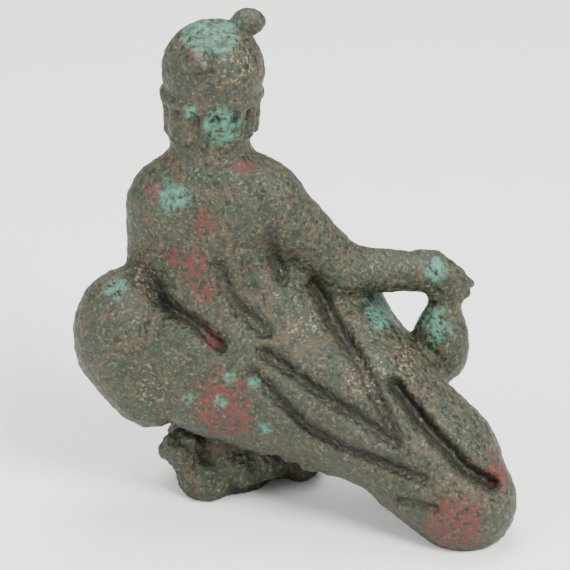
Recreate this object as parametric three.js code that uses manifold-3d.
// Bronze figurine of Mercury, half reclining on a knobbly rock, cast in one solid piece.
// Millimetres, +Z up, +X towards the purse hand, +Y the way the figure looks.
// The origin is under the middle of the figurine, on the surface that it stands on.
import * as THREE from 'three';
import { mergeVertices } from 'three/addons/utils/BufferGeometryUtils.js';
import Module from 'manifold-3d';

// Sizes of the mesh and of the whole
const CELL = 1.5;
const PINCH_FILL = 0.1;
const GRID_LOW = [-30, -21, -7];
const GRID_HIGH = [32, 18, 65];
const ORIGIN_SHIFT = [-1.1, 2.15, 0];
const BLEND_BODY = 1.6;
const BLEND_CLOAK = 2.6;
const BLEND_FINE = 0.7;
const BRONZE = { color: 0x4a4b3a, roughness: 0.68, metalness: 0.55 };

// The tilt of the plane that the cloak's folds are laid out on
const FOLD_RISE = 0.906;
const FOLD_LEAN = 0.423;
const FOLD_OFFSET = 6.3;
const FOLD_FRONT = 4.0;
const FOLD_FADE = 3.0;

// Rounded masses: centre and half sizes
const MASSES = {
  cap: { at: [-8.5, 4.2, 54.5], half: [6.1, 6.1, 6.0] },
  head: { at: [-9.1, 4.8, 48.2], half: [5.3, 5.8, 6.0] },
  chest: { at: [-8.8, 3.2, 34.9], half: [9.4, 6.0, 10.5] },
  waist: { at: [-7.2, 2.4, 25.2], half: [9.2, 6.6, 9.0] },
  hips: { at: [-3.6, 0.9, 17.5], half: [9.2, 8.4, 8.6] },
  lap: { at: [-11.4, 0.6, 20.0], half: [8.0, 7.4, 7.4] },
  seat: { at: [-8.4, -0.4, 14.0], half: [7.0, 6.6, 6.0] },
  elbowRest: { at: [-19.4, 0.8, 21.5], half: [6.2, 6.2, 8.2] },
  elbowRestFoot: { at: [-16.2, 0.2, 15.2], half: [5.4, 5.4, 5.4] },
  hem: { at: [-1.8, -2.0, 12.3], half: [5.8, 5.6, 5.6] },
  hemRight: { at: [5.4, -3.6, 11.2], half: [5.8, 5.6, 5.6] },
  foot: { at: [21.4, -10.2, 4.5], half: [5.8, 5.7, 5.7] },
};

// The rock that carries the figure, down to its flat underside
const ROCK = {
  core: { at: [-7.4, 5.2, 4.6], half: [6.8, 6.6, 9.0] },
  left: { at: [-12.4, -0.2, 6.3], half: [2.7, 2.7, 2.7] },
  tip: { at: [-9.6, 0.2, 2.3], half: [3.5, 3.2, 3.3] },
  middle: { at: [-5.4, 0.4, 4.2], half: [3.1, 3.0, 3.1] },
  right: { at: [-2.6, 1.0, 4.6], half: [2.6, 2.6, 2.6] },
  spur: { at: [1.8, 5.2, 2.4], half: [2.7, 3.6, 3.0] },
  spurRoot: { at: [-1.5, 4.6, 6.5], half: [4.5, 4.5, 6.5] },
};

// Tapered limbs: ends and end radii
const LIMBS = {
  neck: { from: [-8.9, 3.7, 39.0], to: [-8.9, 4.2, 47.5], start: 5.2, end: 4.3 },
  shoulders: { from: [-14.2, 3.2, 38.4], to: [-3.0, 2.4, 39.0], start: 4.2, end: 4.4 },
  rightUpperArm: { from: [-2.0, 2.0, 38.2], to: [7.0, 3.0, 28.9], start: 4.3, end: 3.1 },
  rightForearm: { from: [7.0, 3.0, 28.9], to: [17.6, 4.8, 28.0], start: 3.0, end: 2.3 },
  rightHand: { from: [17.6, 4.8, 28.0], to: [20.2, 4.8, 26.4], start: 2.2, end: 2.2 },
  leftUpperArm: { from: [-15.4, 3.4, 37.0], to: [-16.6, 3.6, 26.5], start: 3.2, end: 2.8 },
  leftForearm: { from: [-16.6, 3.6, 26.5], to: [-15.0, 10.6, 25.6], start: 2.7, end: 2.0 },
  nearThigh: { from: [-2.0, 0.6, 18.0], to: [9.6, -4.6, 14.3], start: 8.2, end: 7.9 },
  nearShin: { from: [9.6, -4.6, 14.3], to: [17.5, -7.8, 8.2], start: 7.9, end: 6.9 },
  nearFoot: { from: [17.5, -7.8, 8.2], to: [21.4, -10.2, 4.7], start: 6.9, end: 5.8 },
  cloakSide: { from: [-1.0, 2.6, 24.0], to: [8.6, 1.2, 19.4], start: 6.4, end: 5.0 },
  cloakEdge: { from: [8.6, 1.2, 19.4], to: [20.5, -6.0, 9.4], start: 5.0, end: 4.8 },
  farThigh: { from: [-3.0, 6.0, 19.0], to: [8.6, 7.2, 22.6], start: 5.2, end: 3.1 },
  farShin: { from: [8.6, 7.2, 22.6], to: [15.8, 2.0, 13.5], start: 3.1, end: 3.4 },
  purseNeck: { from: [19.6, 4.6, 25.4], to: [19.1, 4.0, 21.5], start: 1.7, end: 2.4 },
};
const PURSE = { at: [19.0, 3.5, 18.6], half: [3.5, 3.2, 4.9] };

// The wings on the cap: two stubby knobs
const WINGS = {
  back: { at: [-10.2, -1.9, 58.2], half: [1.9, 2.6, 1.7] },
  side: { at: [-4.3, 5.0, 60.2], half: [2.1, 1.8, 1.6] },
};

// Folds of the cloak, as lines on the tilted plane, with their depth and half width
const FOLDS = {
  shoulder: { depth: 0.8, width: 0.8, line: [[-2.8, 42.2], [-1.7, 38.3], [-1.1, 34.8], [-0.4, 33.1]] },
  waist: { depth: 1.0, width: 1.0, line: [[-8.0, 34.0], [-5.9, 29.6], [-2.4, 26.5]] },
  lap: { depth: 1.3, width: 1.1, line: [[-2.4, 23.9], [2.9, 20.0], [7.7, 16.9], [13.0, 13.4]] },
  hem: { depth: 1.1, width: 1.0, line: [[-3.7, 21.4], [2.0, 15.6], [7.2, 12.6], [16.2, 9.1]] },
  knee: { depth: 1.2, width: 1.0, line: [[3.7, 32.3], [5.9, 27.5], [8.5, 23.5], [11.2, 18.2], [13.0, 13.9]] },
  shin: { depth: 1.7, width: 1.0, line: [[13.0, 20.0], [16.8, 15.2], [21.6, 10.0], [24.7, 8.2]] },
  foot: { depth: 0.8, width: 0.7, line: [[13.8, 6.5], [17.8, 5.4]] },
  elbow: { depth: 1.5, width: 0.9, line: [[-18.1, 34.7], [-16.0, 31.7], [-13.8, 29.2], [-10.8, 27.5], [-7.8, 24.8]] },
};

function smoothUnion(a, b, reach) {
  const h = Math.max(reach - Math.abs(a - b), 0) / reach;
  return Math.min(a, b) - h * h * reach * 0.25;
}

// Distance to an ellipsoid, close enough for a blended surface
function massDistance(p, mass) {
  const q = p.map((value, axis) => (value - mass.at[axis]) / mass.half[axis]);
  const g = q.map((value, axis) => value / mass.half[axis]);
  const inner = Math.hypot(...q);
  return (inner * (inner - 1)) / Math.max(Math.hypot(...g), 1e-6);
}

function limbDistance(p, limb) {
  const along = limb.to.map((value, axis) => value - limb.from[axis]);
  const offset = p.map((value, axis) => value - limb.from[axis]);
  const lengthSquared = along.reduce((sum, value) => sum + value * value, 0);
  const dot = along.reduce((sum, value, axis) => sum + value * offset[axis], 0);
  const t = THREE.MathUtils.clamp(dot / lengthSquared, 0, 1);
  const gap = Math.hypot(...offset.map((value, axis) => value - along[axis] * t));
  return gap - THREE.MathUtils.lerp(limb.start, limb.end, t);
}

function lineDistance(u, w, line) {
  let nearest = Infinity;
  for (let i = 1; i < line.length; i += 1) {
    const [ax, ay] = line[i - 1];
    const [bx, by] = line[i];
    const lengthSquared = (bx - ax) ** 2 + (by - ay) ** 2;
    const t = THREE.MathUtils.clamp(((u - ax) * (bx - ax) + (w - ay) * (by - ay)) / lengthSquared, 0, 1);
    nearest = Math.min(nearest, Math.hypot(u - ax - (bx - ax) * t, w - ay - (by - ay) * t));
  }
  return nearest;
}

// How far the folds are let into the cloak's back at a point
function foldDepth(p) {
  const fade = THREE.MathUtils.clamp((FOLD_FRONT - p[1]) / FOLD_FADE, 0, 1);
  if (fade === 0) return 0;
  const w = FOLD_RISE * p[2] + FOLD_LEAN * p[1] + FOLD_OFFSET;
  let depth = 0;
  for (const fold of Object.values(FOLDS)) {
    const away = lineDistance(p[0], w, fold.line) / fold.width;
    depth = Math.max(depth, fold.depth * Math.exp(-away * away));
  }
  return depth * fade;
}

function joined(p, masses, limbs, reach) {
  let distance = Infinity;
  for (const mass of masses) distance = smoothUnion(distance, massDistance(p, mass), reach);
  for (const limb of limbs) distance = smoothUnion(distance, limbDistance(p, limb), reach);
  return distance;
}

function figureDistance(p) {
  const m = MASSES;
  const l = LIMBS;
  const cloak = joined(
    p,
    [m.chest, m.waist, m.hips, m.lap, m.seat, m.hem, m.hemRight, m.foot],
    [l.nearThigh, l.nearShin, l.nearFoot, l.cloakSide, l.cloakEdge, l.shoulders],
    BLEND_CLOAK,
  );
  const rest = joined(p, [m.elbowRest, m.elbowRestFoot], [], BLEND_CLOAK);
  const limbs = joined(p, [], [l.rightUpperArm, l.rightForearm, l.rightHand], BLEND_BODY);
  const left = joined(p, [], [l.leftUpperArm, l.leftForearm], BLEND_BODY);
  const far = joined(p, [], [l.farThigh, l.farShin], BLEND_BODY);
  const head = joined(p, [m.cap, m.head, WINGS.back, WINGS.side], [l.neck], BLEND_FINE);
  const purse = joined(p, [PURSE], [l.purseNeck], BLEND_BODY);
  const rock = joined(p, Object.values(ROCK), [], BLEND_FINE);
  let distance = smoothUnion(cloak + foldDepth(p), rest, BLEND_FINE);
  for (const piece of [limbs, left, far, head, purse, rock]) {
    distance = smoothUnion(distance, piece, BLEND_BODY);
  }
  return distance;
}

// True where the chosen corners of a cell hang together along its edges
function hangTogether(chosen) {
  const start = chosen.indexOf(true);
  if (start < 0) return true;
  const reached = new Set([start]);
  const queue = [start];
  while (queue.length > 0) {
    const corner = queue.pop();
    for (const step of [1, 2, 4]) {
      const next = corner ^ step;
      if (chosen[next] && !reached.has(next)) {
        reached.add(next);
        queue.push(next);
      }
    }
  }
  return reached.size === chosen.filter(Boolean).length;
}

// True where a face of a cell has its two diagonals on opposite sides of the surface
function crossedFace(inside) {
  for (const [a, b] of [[1, 2], [2, 4], [1, 4]]) {
    for (const side of [0, 7 - a - b]) {
      const [p, q, r, t] = [side, side + a, side + b, side + a + b].map((corner) => inside[corner]);
      if (p === t && q === r && p !== q) return true;
    }
  }
  return false;
}

// Cells where two sheets of the surface would pinch together are filled a little
function fillPinches(values, count, index, corners) {
  let changed = true;
  while (changed) {
    changed = false;
    for (let k = 0; k < count[2] - 1; k += 1) {
      for (let j = 0; j < count[1] - 1; j += 1) {
        for (let i = 0; i < count[0] - 1; i += 1) {
          const keys = corners.map((c) => index(i + c[0], j + c[1], k + c[2]));
          const inside = keys.map((key) => values[key] < 0);
          const outside = inside.map((flag) => !flag);
          if (hangTogether(inside) && hangTogether(outside) && !crossedFace(inside)) continue;
          const open = keys.filter((key) => values[key] >= 0);
          const nearest = open.reduce((a, b) => (values[a] < values[b] ? a : b));
          values[nearest] = -PINCH_FILL;
          changed = true;
        }
      }
    }
  }
}

// A closed net of four-sided faces, one point in each cell that the surface crosses
function surfaceNet(distanceAt) {
  const count = GRID_LOW.map((low, axis) => Math.ceil((GRID_HIGH[axis] - low) / CELL) + 1);
  const index = (i, j, k) => i + count[0] * (j + count[1] * k);
  const values = new Float64Array(count[0] * count[1] * count[2]);
  const place = (i, j, k) => [i, j, k].map((step, axis) => GRID_LOW[axis] + step * CELL);
  for (let k = 0; k < count[2]; k += 1) {
    for (let j = 0; j < count[1]; j += 1) {
      for (let i = 0; i < count[0]; i += 1) values[index(i, j, k)] = distanceAt(place(i, j, k));
    }
  }
  const corners = [];
  for (let n = 0; n < 8; n += 1) corners.push([n & 1, (n >> 1) & 1, (n >> 2) & 1]);
  fillPinches(values, count, index, corners);
  const points = [];
  const cellPoint = new Map();
  const pointOf = (i, j, k) => {
    const key = index(i, j, k);
    if (cellPoint.has(key)) return cellPoint.get(key);
    const sum = [0, 0, 0];
    let crossings = 0;
    for (const a of corners) {
      for (let axis = 0; axis < 3; axis += 1) {
        if (a[axis] === 1) continue;
        const b = [...a];
        b[axis] = 1;
        const va = values[index(i + a[0], j + a[1], k + a[2])];
        const vb = values[index(i + b[0], j + b[1], k + b[2])];
        if (va < 0 === vb < 0) continue;
        const t = va / (va - vb);
        for (let c = 0; c < 3; c += 1) sum[c] += a[c] + (b[c] - a[c]) * t;
        crossings += 1;
      }
    }
    const base = place(i, j, k);
    points.push(...sum.map((value, axis) => base[axis] + (value / crossings) * CELL));
    cellPoint.set(key, points.length / 3 - 1);
    return points.length / 3 - 1;
  };
  const faces = [];
  for (let k = 1; k < count[2] - 1; k += 1) {
    for (let j = 1; j < count[1] - 1; j += 1) {
      for (let i = 1; i < count[0] - 1; i += 1) {
        const here = values[index(i, j, k)] < 0;
        for (let axis = 0; axis < 3; axis += 1) {
          const step = [0, 0, 0];
          step[axis] = 1;
          const there = values[index(i + step[0], j + step[1], k + step[2])] < 0;
          if (here === there) continue;
          const u = [0, 0, 0];
          const v = [0, 0, 0];
          u[(axis + 1) % 3] = 1;
          v[(axis + 2) % 3] = 1;
          const a = pointOf(i - u[0] - v[0], j - u[1] - v[1], k - u[2] - v[2]);
          const b = pointOf(i - v[0], j - v[1], k - v[2]);
          const c = pointOf(i, j, k);
          const d = pointOf(i - u[0], j - u[1], k - u[2]);
          if (here) faces.push(a, b, c, a, c, d);
          else faces.push(a, c, b, a, d, c);
        }
      }
    }
  }
  const geometry = new THREE.BufferGeometry();
  geometry.setAttribute('position', new THREE.Float32BufferAttribute(points, 3));
  geometry.setIndex(faces);
  return geometry;
}

const wasm = await Module();
wasm.setup();

function toSolid(geometry) {
  geometry.deleteAttribute('normal');
  geometry.deleteAttribute('uv');
  const merged = mergeVertices(geometry);
  const vertProperties = new Float32Array(merged.attributes.position.array);
  const triVerts = new Uint32Array(merged.index.array);
  return new wasm.Manifold(new wasm.Mesh({ numProp: 3, vertProperties, triVerts }));
}

function toGeometry(solid) {
  const mesh = solid.getMesh();
  const geometry = new THREE.BufferGeometry();
  geometry.setAttribute('position', new THREE.BufferAttribute(mesh.vertProperties, 3));
  geometry.setIndex(new THREE.BufferAttribute(mesh.triVerts, 1));
  geometry.computeVertexNormals();
  return geometry;
}

// Everything under the standing surface is cut away flat
function groundCutter() {
  const size = 100;
  const depth = 20;
  const cutter = new THREE.BoxGeometry(size, size, depth);
  cutter.translate(0, 0, -depth / 2);
  return toSolid(cutter);
}

function figurine() {
  const cast = toSolid(surfaceNet(figureDistance)).subtract(groundCutter());
  const geometry = toGeometry(cast);
  geometry.translate(...ORIGIN_SHIFT);
  const mesh = new THREE.Mesh(geometry, new THREE.MeshStandardMaterial(BRONZE));
  mesh.name = 'mercury_figurine';
  return mesh;
}

const group = new THREE.Group();
group.add(figurine());

export default group;
